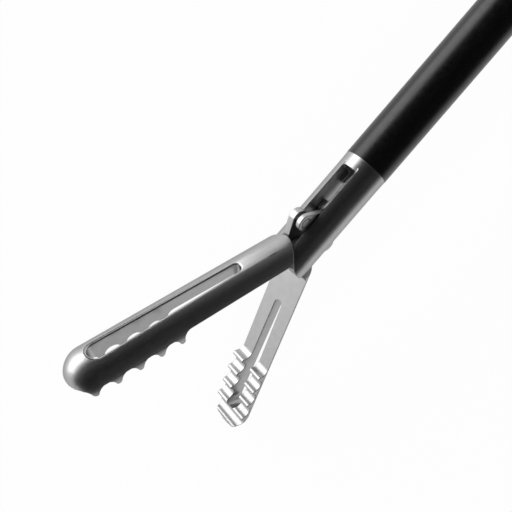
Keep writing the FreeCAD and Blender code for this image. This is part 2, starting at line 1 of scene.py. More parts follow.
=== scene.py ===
import json
import math
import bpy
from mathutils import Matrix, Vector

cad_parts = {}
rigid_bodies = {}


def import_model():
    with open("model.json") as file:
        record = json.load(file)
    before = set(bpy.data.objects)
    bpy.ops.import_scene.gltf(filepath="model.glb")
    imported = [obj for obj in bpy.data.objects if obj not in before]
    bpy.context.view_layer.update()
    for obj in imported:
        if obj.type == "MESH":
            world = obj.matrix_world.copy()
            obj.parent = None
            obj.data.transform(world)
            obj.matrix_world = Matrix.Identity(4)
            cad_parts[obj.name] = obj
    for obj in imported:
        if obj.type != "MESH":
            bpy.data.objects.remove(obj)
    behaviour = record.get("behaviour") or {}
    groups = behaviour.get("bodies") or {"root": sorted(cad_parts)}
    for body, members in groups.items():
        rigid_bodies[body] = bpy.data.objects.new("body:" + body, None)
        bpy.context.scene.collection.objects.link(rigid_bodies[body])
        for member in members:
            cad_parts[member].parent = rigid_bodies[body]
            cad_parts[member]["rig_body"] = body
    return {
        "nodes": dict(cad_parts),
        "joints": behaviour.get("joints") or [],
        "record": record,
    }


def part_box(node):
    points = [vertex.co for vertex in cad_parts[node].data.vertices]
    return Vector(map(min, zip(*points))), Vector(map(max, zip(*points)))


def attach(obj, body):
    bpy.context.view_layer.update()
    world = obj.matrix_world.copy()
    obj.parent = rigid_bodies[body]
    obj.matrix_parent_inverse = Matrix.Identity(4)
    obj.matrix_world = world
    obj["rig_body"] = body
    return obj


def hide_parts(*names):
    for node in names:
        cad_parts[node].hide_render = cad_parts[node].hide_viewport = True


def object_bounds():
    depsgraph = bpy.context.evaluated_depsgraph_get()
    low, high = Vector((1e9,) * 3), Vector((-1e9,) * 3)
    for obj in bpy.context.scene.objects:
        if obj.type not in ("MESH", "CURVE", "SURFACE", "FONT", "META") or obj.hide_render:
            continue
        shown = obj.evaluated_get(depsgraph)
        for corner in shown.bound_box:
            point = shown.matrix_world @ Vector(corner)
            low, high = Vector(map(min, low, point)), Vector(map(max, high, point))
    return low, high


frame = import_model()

from types import SimpleNamespace

import bmesh
import bpy
from bpy.props import FloatProperty, FloatVectorProperty, IntProperty, PointerProperty
from mathutils import Matrix, Vector

bl_info = {
    "name": "Laparoscopic grasper",
    "version": (1, 0, 0),
    "blender": (4, 5, 0),
    "location": "View3D > Sidebar > Grasper",
    "description": "Dresses the 5 mm grasper: steel tip, insulated shaft, knob and ring handle",
    "category": "Object",
}

MM = 0.001
NODES = frame["nodes"]
JOINTS = {joint["name"]: joint for joint in frame["joints"]}
CAD_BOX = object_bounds()

# The tip is drawn in its own frame, in millimetres: X distal, Y along the pivot pin and Z the
# opening direction, with the jaw pivot at the origin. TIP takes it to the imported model's frame,
# and ROW only turns millimetres to metres.
PIVOT = Vector(JOINTS["upper_jaw_pivot"]["pos_m"])
HINGE = Vector(JOINTS["upper_jaw_pivot"]["axis"])
OPEN = math.radians(JOINTS["upper_jaw_pivot"]["range_deg"][1])
TIP_ROLL = math.atan2(HINGE.z, HINGE.y)
TIP = Matrix.Translation(PIVOT) @ Matrix.Rotation(TIP_ROLL, 4, "X") @ Matrix.Scale(MM, 4)
ROW = Matrix.Scale(MM, 4)
SHAFT_R = next(m for m in frame["record"]["mounts"] if m["name"] == "shaft")["dims"]["r_mm"]
SLEEVE_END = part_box("insulation_sleeve")[1].x / MM

# Fixed sizes of the tip, in millimetres
FIT = 0.03          # clearance of a running pin in its hole
UNDER = 0.012       # how far a rivet's radius stays under its hole's
PIVOT_UNDER = 0.005
BAR = 4.0           # half the width of stock that is cut to size afterwards
DRILL = 5.0         # half the length of drills and cutters, past every piece of the tip
LINK_DRILL = 2.0
RIVET_STOCK = 3.0
SLOT_PAST = 2.0     # how far the slot's tool passes the arms
SHOULDER_UNDER = 0.02
BORE_OVER = 0.1     # how far the yoke's bore is over the pull rod
BORE_PAST = 0.5
WEB_X = 3.6         # centre of the web's far end
WEB_END = 8.0
WEB_LEVELS = (-1.0, 2.0)
SLEEVE_WALL = 0.28
SLEEVE_ROUND = 0.04
SLEEVE_MIDDLE = 0.3  # share of the round by which its middle lies inside the corner
RIVET_EDGE = 0.05
LINK_EDGE = 0.07
ROD_PIN_EDGE = 0.04

# How finely the rounds are divided
YOKE_STEPS = 144
JAW_STEPS = 128
ARM_STEPS = 128
SLEEVE_STEPS = 160
NOSE_RINGS = 15
LIP_STEPS = 14
CREST_STEPS = 8
VALLEY_STEPS = 20
CORNER_STEPS = 6
SLEEVE_CORNER_STEPS = 4
WINDOW_STEPS = 40
RIM_TURNS = (0, 18, 36, 54, 70)
RIM_RISE = 0.1

# Cleaning and finishing of meshes
JOIN_MM = 0.003
SLIVER_MM = 0.002
FLAT_DEG = 0.4
HULL_FLAT_DEG = 0.5
BEVEL_DEG = 32.0
SMOOTH_DEG = BEVEL_DEG + 8
BEVEL_SEGMENTS = 3


def tip_point(joint):
    """Place of a joint in the tip's frame, as (x, z) in millimetres."""
    local = TIP.inverted() @ Vector(JOINTS[joint]["pos_m"])
    return local.x, local.z


# Property groups: the sizes and colours that a user would change

def length(name, mm, text):
    """Length property with its default given in millimetres."""
    return FloatProperty(name=name, description=text, default=mm * MM, unit="LENGTH", precision=5)


def colour(name, rgb_hex, text):
    """Colour property with its default given as an sRGB hex value."""
    return FloatVectorProperty(name=name, description=text, default=linear(rgb_hex), size=3,
                               subtype="COLOR", min=0.0, max=1.0)


def linear(rgb_hex):
    """sRGB hex value as linear red, green and blue."""
    parts = [int(rgb_hex[k:k + 2], 16) / 255 for k in (1, 3, 5)]
    return tuple(c / 12.92 if c <= 0.04045 else ((c + 0.055) / 1.055) ** 2.4 for c in parts)


class GrasperYokeSizes(bpy.types.PropertyGroup):
    radius: length("Arm radius", 2.45, "Outer radius of the yoke's two arms")
    back: length("Shoulder", -11.05, "Shoulder against the tube, along the shaft from the pivot")
    taper: length("Collar", 1.0, "Length of the collar that runs up to the sleeve's size")
    spigot: length("Spigot", 6.0, "Length of the spigot inside the tube")
    spigot_radius: length("Spigot radius", 1.78, "Radius of the spigot")
    slot_back: length("Slot end", -9.655, "Closed end of the slot, along the shaft from the pivot")
    slot_half: length("Slot half width", 0.9, "Half the slot's width")
    slot_corner: length("Slot corner", 0.22, "Radius of the slot's inner corners")
    reach: length("Arm reach", 2.0, "How far the arms pass the pivot")
    edge: length("Edge", 0.06, "Width of the broken edges")


class GrasperJawSizes(bpy.types.PropertyGroup):
    length: length("Length", 25.75, "Pivot to the tip of the nose")
    radius: length("Root radius", 2.45, "Outer radius at the root")
    tip_radius: length("Tip radius", 2.5, "Outer radius where the nose begins")
    nose: length("Nose", 2.35, "Length of the rounded nose")
    nose_drop: length("Nose drop", 0.5, "Tip of the nose to the end of the last valley")
    nose_lip: length("Nose lip", 0.58, "Height of the nose's inner side over the middle plane")
    gap: length("Leaf gap", 0.05, "Running gap beside each flat leaf")
    window_rear: length("Window rear half width", 0.5, "Half the window's width at its rear end")
    window_half: length("Window front half width", 0.78, "Half the window's width at its front end")
    rim: length("Window rim", 0.22, "Radius of the rounding around the window's outer rim")
    window_back: length("Window start", 7.0, "Pivot to the window's rear end")
    window_front: length("Window end", 2.6, "Tip of the nose to the window's front end")
    recess: length("Recess", 0.88, "Depth of the smooth grip behind the teeth")
    flat_start: length("Flat start", 2.0, "Pivot to the start of the recessed side")
    ramp: length("Ramp", 0.7, "Length of the ramp to the recessed side")
    pitch: length("Tooth pitch", 2.19, "Distance between two teeth")
    crest: length("Tooth crest", 0.3, "How far the crests pass the middle plane")
    valley: length("Tooth valley", 0.6, "How deep the valleys are")
    crest_half: length("Crest half width", 0.28, "Half the width of a crest")
    crest_round: length("Crest rounding", 0.21, "Height of a crest's rounding")
    last_tooth: length("Last tooth", 1.63, "Tip of the nose to the last tooth")
    teeth: IntProperty(name="Teeth", description="Teeth on each jaw", default=5, min=2)
    hub: length("Hub", 1.6, "Radius of the flat hub around the pivot")
    knuckle: length("Knuckle", 0.92, "Radius of the tail's end")
    edge: length("Edge", 0.06, "Width of the broken edges")


class GrasperPinSizes(bpy.types.PropertyGroup):
    pivot: length("Pivot", 0.8, "Radius of the pivot pin")
    tail: length("Tail pin", 0.5, "Radius of the two tail pins")
    rod: length("Rod pin", 0.4, "Radius of the rod pin")
    link_end: length("Link end", 0.8, "Radius of the links' rear ends")
    blade_half: length("Blade half", 0.25, "Half the thickness of the rod's flat end")
    rod_radius: length("Rod", 0.8, "Radius of the pull rod")


class GrasperFinishes(bpy.types.PropertyGroup):
    steel: colour("Ground steel", "#B4B4B4", "Finely ground stainless steel of the tip")
    pin_steel: colour("Pin steel", "#ACACAC", "Turned stainless steel of pins, rod and screws")
    sleeve: colour("Insulation", "#060606", "Black shrunk-on insulation")
    plastic: colour("Plastic", "#1B1B1E", "Black moulded plastic of knob and handle")
    silicone: colour("Silicone", "#8A8D92", "Grey silicone of cap and seal")
    brass: colour("Brass", "#D9B765", "Plated brass of the connector")
    guide: colour("Guide", "#E4E2DC", "White low-friction plastic of the rod guide")


# Mesh helpers

def in_mm(group):
    """Lengths of a property group in millimetres, and its counts as they are."""
    values = {}
    for key in type(group).__annotations__:
        value = getattr(group, key)
        values[key] = value if isinstance(value, int) else value / MM
    return SimpleNamespace(**values)


def arc_through(start, middle, end, steps):
    """Points of the arc through three points, without its first point."""
    ax, ay = start
    bx, by = middle
    cx, cy = end
    d = 2 * (ax * (by - cy) + bx * (cy - ay) + cx * (ay - by))
    sa, sb, sc = ax * ax + ay * ay, bx * bx + by * by, cx * cx + cy * cy
    ux = (sa * (by - cy) + sb * (cy - ay) + sc * (ay - by)) / d
    uy = (sa * (cx - bx) + sb * (ax - cx) + sc * (bx - ax)) / d
    radius = math.hypot(ax - ux, ay - uy)
    first = math.atan2(ay - uy, ax - ux)
    sweep = math.atan2(cy - uy, cx - ux) - first
    half = math.atan2(by - uy, bx - ux) - first
    while sweep < 0:
        sweep += 2 * math.pi
    while half < 0:
        half += 2 * math.pi
    if half > sweep:
        sweep -= 2 * math.pi
    points = []
    for k in range(1, steps + 1):
        angle = first + sweep * k / steps
        points.append((ux + radius * math.cos(angle), uy + radius * math.sin(angle)))
    return points


def turned(profile, steps, ring=False):
    """Body of revolution about X from (x, radius) points that start and end on X, or a ring."""
    bm = bmesh.new()
    verts = [bm.verts.new((x, r, 0)) for x, r in profile]
    after = verts[1:] + verts[:1] if ring else verts[1:]
    edges = [bm.edges.new(pair) for pair in zip(verts, after)]
    bmesh.ops.spin(bm, geom=verts + edges, axis=(1, 0, 0), cent=(0, 0, 0), angle=2 * math.pi,
                   steps=steps, use_merge=True)
    bmesh.ops.remove_doubles(bm, verts=bm.verts[:], dist=1e-5)
    bmesh.ops.recalc_face_normals(bm, faces=bm.faces[:])
    return bm


def prism(outline, low, high, axis="Y"):
    """Prism of an (x, z) outline along Y, or of an (x, y) outline along Z."""
    bm = bmesh.new()
    if axis == "Y":
        verts = [bm.verts.new((x, low, z)) for x, z in outline]
        rise = Vector((0, high - low, 0))
    else:
        verts = [bm.verts.new((x, y, low)) for x, y in outline]
        rise = Vector((0, 0, high - low))
    face = bm.faces.new(verts)
    grown = bmesh.ops.extrude_face_region(bm, geom=[face])["geom"]
    top = [item for item in grown if isinstance(item, bmesh.types.BMVert)]
    bmesh.ops.translate(bm, verts=top, vec=rise)
    bmesh.ops.recalc_face_normals(bm, faces=bm.faces[:])
    return bm


def cylinder(radius, low, high, at=(0, 0), axis="Y", steps=64):
    """Closed cylinder along Y, centred at (x, z), or along X, centred at (y, z)."""
    bm = bmesh.new()
    bmesh.ops.create_cone(bm, cap_ends=True, segments=steps, radius1=radius, radius2=radius,
                          depth=high - low)
    middle = (low + high) / 2
    if axis == "Y":
        turn = Matrix.Translation((at[0], middle, at[1])) @ Matrix.Rotation(math.pi / 2, 4, "X")
    else:
        turn = Matrix.Translation((middle, at[0], at[1])) @ Matrix.Rotation(math.pi / 2, 4, "Y")
    bmesh.ops.transform(bm, matrix=turn, verts=bm.verts[:])
    bmesh.ops.recalc_face_normals(bm, faces=bm.faces[:])
    return bm


def hull(circles, low, high, steps=64):
    """Flat bar that wraps circles of (x, z, radius), between two levels of Y."""
    bm = bmesh.new()
    for x, z, radius in circles:
        for level in (low, high):
            turn = Matrix.Translation((x, level, z)) @ Matrix.Rotation(math.pi / 2, 4, "X")
            bmesh.ops.create_circle(bm, segments=steps, radius=radius, matrix=turn)
    found = bmesh.ops.convex_hull(bm, input=bm.verts[:], use_existing_faces=False)
    loose = [item for item in found["geom_interior"] if isinstance(item, bmesh.types.BMVert)]
    bmesh.ops.delete(bm, geom=loose, context="VERTS")
    spare = [edge for edge in bm.edges if not edge.link_faces]
    bmesh.ops.delete(bm, geom=spare, context="EDGES")
    bmesh.ops.dissolve_limit(bm, angle_limit=math.radians(HULL_FLAT_DEG), verts=bm.verts[:],
                             edges=bm.edges[:])
    bmesh.ops.recalc_face_normals(bm, faces=bm.faces[:])
    return bm


def combine(body, tool, operation="DIFFERENCE"):
    """Boolean of two bmeshes. Both are used up."""
    meshes = []
    for bm in (body, tool):
        mesh = bpy.data.meshes.new("stock")
        bm.to_mesh(mesh)
        bm.free()
        meshes.append(mesh)
    stock = bpy.data.objects.new("stock", meshes[0])
    cutter = bpy.data.objects.new("cutter", meshes[1])
    bpy.context.scene.collection.objects.link(stock)
    bpy.context.scene.collection.objects.link(cutter)
    step = stock.modifiers.new("cut", "BOOLEAN")
    step.object = cutter
    step.operation = operation
    step.solver = "EXACT"
    bpy.context.view_layer.update()
    depsgraph = bpy.context.evaluated_depsgraph_get()
    done = bpy.data.meshes.new_from_object(stock.evaluated_get(depsgraph))
    result = bmesh.new()
    result.from_mesh(done)
    for obj in (stock, cutter):
        bpy.data.objects.remove(obj)
    for mesh in meshes + [done]:
        bpy.data.meshes.remove(mesh)
    bmesh.ops.remove_doubles(result, verts=result.verts[:], dist=JOIN_MM)
    bmesh.ops.dissolve_degenerate(result, dist=SLIVER_MM, edges=result.edges[:])
    return result


def smooth_shade(mesh, angle):
    """Shades a mesh smooth, apart from edges sharper than an angle in degrees."""
    for polygon in mesh.polygons:
        polygon.use_smooth = True
    mesh.set_sharp_from_angle(angle=math.radians(angle))


def weigh_normals(obj, angle):
    """Lets the large faces keep their own normals, so that broken edges don't tint them."""
    smooth_shade(obj.data, angle)
    weigh = obj.modifiers.new("weighted normals", "WEIGHTED_NORMAL")
    weigh.mode = "FACE_AREA"
    weigh.weight = 100
    weigh.keep_sharp = True


def build(name, bm, place, body, material, replaces, edge=0.0):
    """Finished piece from a bmesh: placed, with broken edges, smoothed and riding on a body."""
    bmesh.ops.dissolve_limit(bm, angle_limit=math.radians(FLAT_DEG), verts=bm.verts[:],
                             edges=bm.edges[:])
    bmesh.ops.recalc_face_normals(bm, faces=bm.faces[:])
    bmesh.ops.transform(bm, matrix=place, verts=bm.verts[:])
    mesh = bpy.data.meshes.new(name)
    bm.to_mesh(mesh)
    bm.free()
    obj = bpy.data.objects.new(name, mesh)
    bpy.context.scene.collection.objects.link(obj)
    if edge:
        bevel = obj.modifiers.new("broken edges", "BEVEL")
        bevel.limit_method = "ANGLE"
        bevel.angle_limit = math.radians(BEVEL_DEG)
        bevel.width = edge * MM
        bevel.segments = BEVEL_SEGMENTS
        bevel.profile = 0.5
        bevel.use_clamp_overlap = False
        weigh_normals(obj, SMOOTH_DEG)
        bpy.context.view_layer.update()
        depsgraph = bpy.context.evaluated_depsgraph_get()
        obj.data = bpy.data.meshes.new_from_object(obj.evaluated_get(depsgraph))
        obj.modifiers.clear()
        bpy.data.meshes.remove(mesh)
    else:
        smooth_shade(obj.data, SMOOTH_DEG)
    obj.data.materials.clear()
    obj.data.materials.append(material)
    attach(obj, body)
    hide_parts(*replaces)


# Materials

def node(tree, kind, settings=None, links=None):
    """Adds a shader node, sets its values and links its inputs."""
    made = tree.nodes.new(kind)
    for key, value in (settings or {}).items():
        if key in made.inputs:
            made.inputs[key].default_value = value
        else:
            setattr(made, key, value)
    for key, source in (links or {}).items():
        tree.links.new(source, made.inputs[key])
    return made


def bare_material(name):
    """Node material without nodes, and its tree."""
    material = bpy.data.materials.new(name)
    material.use_nodes = True
    material.node_tree.nodes.clear()
    return material, material.node_tree


def patterned_material(name):
    """Bare material with its Object coordinates in millimetres."""
    material, tree = bare_material(name)
    place = node(tree, "ShaderNodeTexCoord").outputs["Object"]
    scale = node(tree, "ShaderNodeMapping", {"Scale": (1 / MM, 1 / MM, 1 / MM)}, {"Vector": place})
    return material, tree, scale.outputs["Vector"]


def finish_material(tree, shader):
    """Links the shader to the output."""
    node(tree, "ShaderNodeOutputMaterial", {}, {"Surface": shader.outputs[0]})


NOISE_SPAN = (0.3, 0.7)   # where most of a noise's values lie
EDGE_TINT = 0.55          # grazing tint of ground metal, which dulls its rim
SCRATCH_RATIO = 14        # a scratch's length over its width
MOTTLE_PER_MM = 1.4
PEEL_PER_MM = 1.6


def worked_surface(tree, base, mottle, grain, tints, rough, relief, depth_mm, settings):
    """Surface whose colour follows one pattern, and whose gloss and relief follow another."""
    tint = node(tree, "ShaderNodeMix", {"data_type": "RGBA"}, {"Factor": mottle.outputs["Fac"]})
    for socket, share in ((6, tints[0]), (7, tints[1])):
        tint.inputs[socket].default_value = (*(min(1, c * share) for c in base), 1)
    gloss = node(tree, "ShaderNodeMapRange",
                 {"From Min": NOISE_SPAN[0], "From Max": NOISE_SPAN[1],
                  "To Min": rough[0], "To Max": rough[1]}, {"Value": grain.outputs["Fac"]})
    bump = node(tree, "ShaderNodeBump", {"Strength": relief, "Distance": depth_mm * MM},
                {"Height": grain.outputs["Fac"]})
    shader = node(tree, "ShaderNodeBsdfPrincipled", settings,
                  {"Base Color": tint.outputs[2], "Roughness": gloss.outputs["Result"],
                   "Normal": bump.outputs["Normal"]})
    finish_material(tree, shader)


def ground_steel(name, base, roughness, grit_mm, lay=None):
    """Worked metal: satin, with fine scratches along one axis or none, and a faint mottle."""
    material, tree, place = patterned_material(name)
    stretch = [1.0 / grit_mm] * 3
    if lay is not None:
        stretch[lay] = 1.0 / (grit_mm * SCRATCH_RATIO)
    laid = node(tree, "ShaderNodeMapping", {"Scale": tuple(stretch)}, {"Vector": place})
    lines = node(tree, "ShaderNodeTexNoise", {"Scale": 1.0, "Detail": 2.0, "Roughness": 0.6},
                 {"Vector": laid.outputs["Vector"]})
    mottle = node(tree, "ShaderNodeTexNoise",
                  {"Scale": MOTTLE_PER_MM, "Detail": 4.0, "Roughness": 0.6}, {"Vector": place})
    worked_surface(tree, base, mottle, lines, tints=(0.88, 1.12),
                   rough=(roughness * 0.9, roughness * 1.12), relief=0.1, depth_mm=0.002,
                   settings={"Metallic": 1.0,
                             "Specular Tint": (EDGE_TINT, EDGE_TINT, EDGE_TINT, 1)})
    return material


def sleeve_plastic(name, base):
    """Shrunk-on insulation: smooth and semi-gloss, with a faint orange peel."""
    material, tree, place = patterned_material(name)
    peel = node(tree, "ShaderNodeTexNoise",
                {"Scale": PEEL_PER_MM, "Detail": 3.0, "Roughness": 0.6}, {"Vector": place})
    worked_surface(tree, base, peel, peel, tints=(0.8, 1.3), rough=(0.27, 0.36),
                   relief=0.25, depth_mm=0.01, settings={"IOR": 1.5})
    return material


def moulded_plastic(name, base, roughness, grain_mm, depth_mm):
    """Moulded plastic or rubber with a fine spark-eroded grain."""
    material, tree, place = patterned_material(name)
    grain = node(tree, "ShaderNodeTexNoise",
                 {"Scale": 1 / grain_mm, "Detail": 2.0, "Roughness": 0.5}, {"Vector": place})
    worked_surface(tree, base, grain, grain, tints=(0.85, 1.15),
                   rough=(roughness * 0.9, roughness * 1.15), relief=0.5, depth_mm=depth_mm,
                   settings={"IOR": 1.5})
    return material


def finish(name):
    """The named material, made once from the scene's finishes."""
    found = bpy.data.materials.get(name)
    if found:
        return found
    tones = bpy.context.scene.grasper_finishes
    makers = {
        # Stainless steel ground along the shaft: satin grey with faint lines. The grit is drawn
        # coarser than the real one, so that it shows.
        "ground_steel_tip": lambda: ground_steel(
            name, tones.steel, roughness=0.34, grit_mm=0.05, lay=0),
        # The same steel blasted after machining: an even satin without a direction.
        "ground_steel_jaw": lambda: ground_steel(
            name, tones.steel, roughness=0.36, grit_mm=0.08),
        # Turned stainless steel: slightly darker and glossier, with an even fine grain.
        "turned_pin_steel": lambda: ground_steel(
            name, tones.pin_steel, roughness=0.3, grit_mm=0.08),
        # Drawn stainless tube: glossy grey with lines along its length.
        "drawn_tube_steel": lambda: ground_steel(
            name, tones.pin_steel, roughness=0.3, grit_mm=0.1, lay=0),
        # Polymer sleeve shrunk on the tube: black, with a highlight that wavers slightly.
        "smooth_black_insulation": lambda: sleeve_plastic(name, tones.sleeve),
        # Glass-filled nylon from a spark-eroded mould: dull black with a fine grain.
        "moulded_black_nylon": lambda: moulded_plastic(
            name, tones.plastic, roughness=0.42, grain_mm=0.35, depth_mm=0.03),
        # Moulded silicone rubber: soft, matt grey.
        "matt_grey_silicone": lambda: moulded_plastic(
            name, tones.silicone, roughness=0.6, grain_mm=0.5, depth_mm=0.02),
        # Turned low-friction plastic: off-white and slightly waxy.
        "white_guide_plastic": lambda: moulded_plastic(
            name, tones.guide, roughness=0.4, grain_mm=0.5, depth_mm=0.01),
        # Plated brass, turned: bright, warm yellow.
        "plated_brass": lambda: ground_steel(
            name, tones.brass, roughness=0.18, grit_mm=0.1, lay=2),
    }
    return makers[name]()


# Tip pieces

def arm_arc(radius, reach):
    """Centre and radius of the arc that ends the yoke's arms."""
    arc_r = (radius ** 2 + reach ** 2) / (2 * reach)
    return reach - arc_r, arc_r


def slot_outline(y):
    """Outline of the yoke's slot seen along the opening direction."""
    h, c = y.slot_half, y.slot_corner
    far = y.reach + SLOT_PAST
    k = c * (1 - math.sqrt(0.5))
    points = [(far, -h), (y.slot_back + c, -h)]
    points += arc_through(points[-1], (y.slot_back + k, -h + k), (y.slot_back, -h + c),
                          CORNER_STEPS)
    points.append((y.slot_back, h - c))
    points += arc_through(points[-1], (y.slot_back + k, h - k), (y.slot_back + c, h),
                          CORNER_STEPS)
    points.append((far, h))
    return points


def yoke_mesh(y, pins):
    """Clevis: a turned body with a slot, rounded arm ends and the pivot hole."""
    spigot_x = y.back - y.spigot
    body = turned([
        (spigot_x, 0), (spigot_x, y.spigot_radius), (y.back, y.spigot_radius),
        (y.back, SHAFT_R - SHOULDER_UNDER), (y.back + y.taper, y.radius), (y.reach, y.radius),
        (y.reach, 0)], YOKE_STEPS)
    arc_x, arc_r = arm_arc(y.radius, y.reach)
    wide = 2 * y.radius
    tail = spigot_x - 1
    rest = prism([(tail, -wide), (0, -wide), (0, wide), (tail, wide)], -wide, wide)
    rounded = combine(cylinder(arc_r, -wide, wide, (arc_x, 0), steps=ARM_STEPS), rest, "UNION")
    body = combine(body, rounded, "INTERSECT")
    body = combine(body, prism(slot_outline(y), -wide, wide, "Z"))
    bore = cylinder(pins.rod_radius + BORE_OVER, tail, y.slot_back + BORE_PAST, axis="X")
    body = combine(body, bore)
    return combine(body, cylinder(pins.pivot, -wide, wide))


def turn_down(flat, end, steps):
    """Points of the arc that leaves a level side at one point and turns down to another."""
    reach, drop = end[0] - flat[0], flat[1] - end[1]
    radius = (reach ** 2 + drop ** 2) / (2 * drop)
    full = math.atan2(reach, radius - drop)
    points = []
    for k in range(1, steps + 1):
        angle = full * k / steps
        x = flat[0] + radius * math.sin(angle)
        points.append((x, flat[1] - radius * (1 - math.cos(angle))))
    return points


def smooth_side(j):
    """Points along a jaw's smooth inner side, from the root to the end of the short ramp."""
    lip = 2 * j.gap
    return [(0.0, lip), (j.flat_start, lip), (j.flat_start + j.ramp, j.recess)]


def jaw_side(j, first):
    """Side outline of a jaw from the root along its toothed side, round the nose and back."""
    shoulder = j.crest_round - j.crest
    flat_end = (first - j.pitch / 2, j.recess)
    points = smooth_side(j) + [flat_end]
    points += turn_down(flat_end, (first - j.crest_half, shoulder), LIP_STEPS)
    for k in range(j.teeth):
        x = first + k * j.pitch
        points += arc_through((x - j.crest_half, shoulder), (x, -j.crest),
                              (x + j.crest_half, shoulder), CREST_STEPS)
        if k < j.teeth - 1:
            middle = (x + j.pitch / 2, j.valley)
            points += arc_through(points[-1], middle, (x + j.pitch - j.crest_half, shoulder),
                                  VALLEY_STEPS)
    nose = (j.length - j.nose_drop, j.nose_lip)
    if points[-1][0] < nose[0]:
        points += reversed(turn_down(nose, points[-1], LIP_STEPS)[:-1])
        points.append(nose)
    top = j.radius + 1
    points += [(j.length + 1, points[-1][1]), (j.length + 1, top), (0, top)]
    return points


def window_ring(rear, front):
    """Outline of the window as (x, y, nx, ny) around two circles of (x, radius)."""
    lean = math.acos((rear[1] - front[1]) / (front[0] - rear[0]))
    ring = []
    for (x, radius), start, sweep in ((front, -lean, 2 * lean), (rear, lean, 2 * (math.pi - lean))):
        for k in range(WINDOW_STEPS + 1):
            angle = start + sweep * k / WINDOW_STEPS
            nx, ny = math.cos(angle), math.sin(angle)
            ring.append((x + radius * nx, radius * ny, nx, ny))
    return ring


def window_cutter(j, rear, front):
    """Tool that cuts the window and rounds its rim, at the same depth all the way round."""
    ring = window_ring(rear, front)
    top = 2 * j.radius
    turns = [math.radians(angle) for angle in RIM_TURNS]
    levels = [(0.0, None, -top)]
    levels += [(j.rim * (1 - math.cos(a)), -j.rim * (1 - math.sin(a)), None) for a in turns]
    levels += [(j.rim, RIM_RISE * j.rim, None), (j.rim, None, top)]
    bm = bmesh.new()
    loops = []
    for out, under, level in levels:
        verts = []
        for x, y, nx, ny in ring:
            px, py = x + nx * out, y + ny * out
            z = level if level is not None else math.sqrt(j.radius ** 2 - py * py) + under
            verts.append(bm.verts.new((px, py, z)))
        loops.append([bm.edges.new(pair) for pair in zip(verts, verts[1:] + verts[:1])])
        if level is not None:
            bm.faces.new(verts)
    for low, high in zip(loops, loops[1:]):
        bmesh.ops.bridge_loops(bm, edges=low + high)
    bmesh.ops.recalc_face_normals(bm, faces=bm.faces[:])
    return bm


def jaw_mesh(j, y, pins, upper):
    """Toothed jaw with its window, hub, web and tail, lying shut along X."""
    first = j.length - j.last_tooth - (j.teeth - 1) * j.pitch
    if not upper:
        first += j.pitch / 2
    nose_x = j.length - j.nose
    profile = [(0, 0), (0, j.radius), (nose_x, j.tip_radius)]
    for k in range(1, NOSE_RINGS):
        lean = math.pi / 2 * k / NOSE_RINGS
        profile.append((nose_x + j.nose * math.sin(lean), j.tip_radius * math.cos(lean)))
    profile.append((j.length, 0))
    side = prism(jaw_side(j, first), -BAR, BAR)
    body = combine(turned(profile, JAW_STEPS), side, "INTERSECT")
    arc_x, arc_r = arm_arc(y.radius, y.reach)
    at = (arc_x * math.cos(OPEN), -arc_x * math.sin(OPEN))
    body = combine(body, cylinder(arc_r + 2 * j.gap, -DRILL, DRILL, at, steps=ARM_STEPS))
    back = j.window_back + j.window_rear
    front = j.length - j.window_front - j.window_half
    body = combine(body, window_cutter(j, (back, j.window_rear), (front, j.window_half)))
    low, high = j.gap, y.slot_half - j.gap
    pin_x, pin_z = tail_shut(upper)
    web_r = (y.radius - FIT) / 2 - 2 * j.gap
    web = hull([(0, 0, j.hub), (WEB_X, web_r + 2 * j.gap, web_r)], low, high)
    rear = j.hub - 5 * j.gap
    room = [(rear, 2 * j.gap)] + smooth_side(j)[1:]
    room += [(WEB_END, j.recess), (WEB_END, -DRILL), (rear, -DRILL)]
    body = combine(body, combine(web, prism(room, *WEB_LEVELS)), "UNION")
    body = combine(body, hull([(0, 0, j.hub), (pin_x, pin_z, j.knuckle)], low, high), "UNION")
    body = combine(body, cylinder(pins.pivot + FIT, -DRILL, DRILL))
    return combine(body, cylinder(pins.tail, -DRILL, DRILL, (pin_x, pin_z)))


def tail_shut(upper):
    """Tail pin's place in a jaw's own frame, as (x, z)."""
    x, z = tip_point("upper_link_pin" if upper else "lower_link_pin")
    turn = -OPEN if upper else OPEN
    own = Matrix.Rotation(-turn, 3, "Y") @ Vector((x, 0, z))
    return own.x, own.z if upper else -own.z


def jaw_place(upper):
    """Matrix from a jaw's own frame to the row frame, open as at rest."""
    if upper:
        return TIP @ Matrix.Rotation(-OPEN, 4, "Y")
    return TIP @ Matrix.Rotation(OPEN, 4, "Y") @ Matrix.Rotation(math.pi, 4, "X")


class GRASPER_OT_sleeve(bpy.types.Operator):
    """Makes the black insulating sleeve of the shaft."""
    bl_idname = "grasper.sleeve"
    bl_label = "Insulating sleeve"

    def execute(self, context):
        inner = SHAFT_R - SLEEVE_WALL
        soft = SLEEVE_ROUND
        end = SLEEVE_END + context.scene.grasper_yoke.edge / MM
        profile = [(0, inner), (0, SHAFT_R), (end - soft, SHAFT_R)]
        middle = SLEEVE_MIDDLE * soft
        profile += arc_through(profile[-1], (end - middle, SHAFT_R - middle),
                               (end, SHAFT_R - soft), SLEEVE_CORNER_STEPS)
        profile.append((end, inner))
        bm = turned(profile, SLEEVE_STEPS, ring=True)
        build("sleeve", bm, ROW, "rotor", finish("smooth_black_insulation"),
              ["insulation_sleeve"])
        return {"FINISHED"}


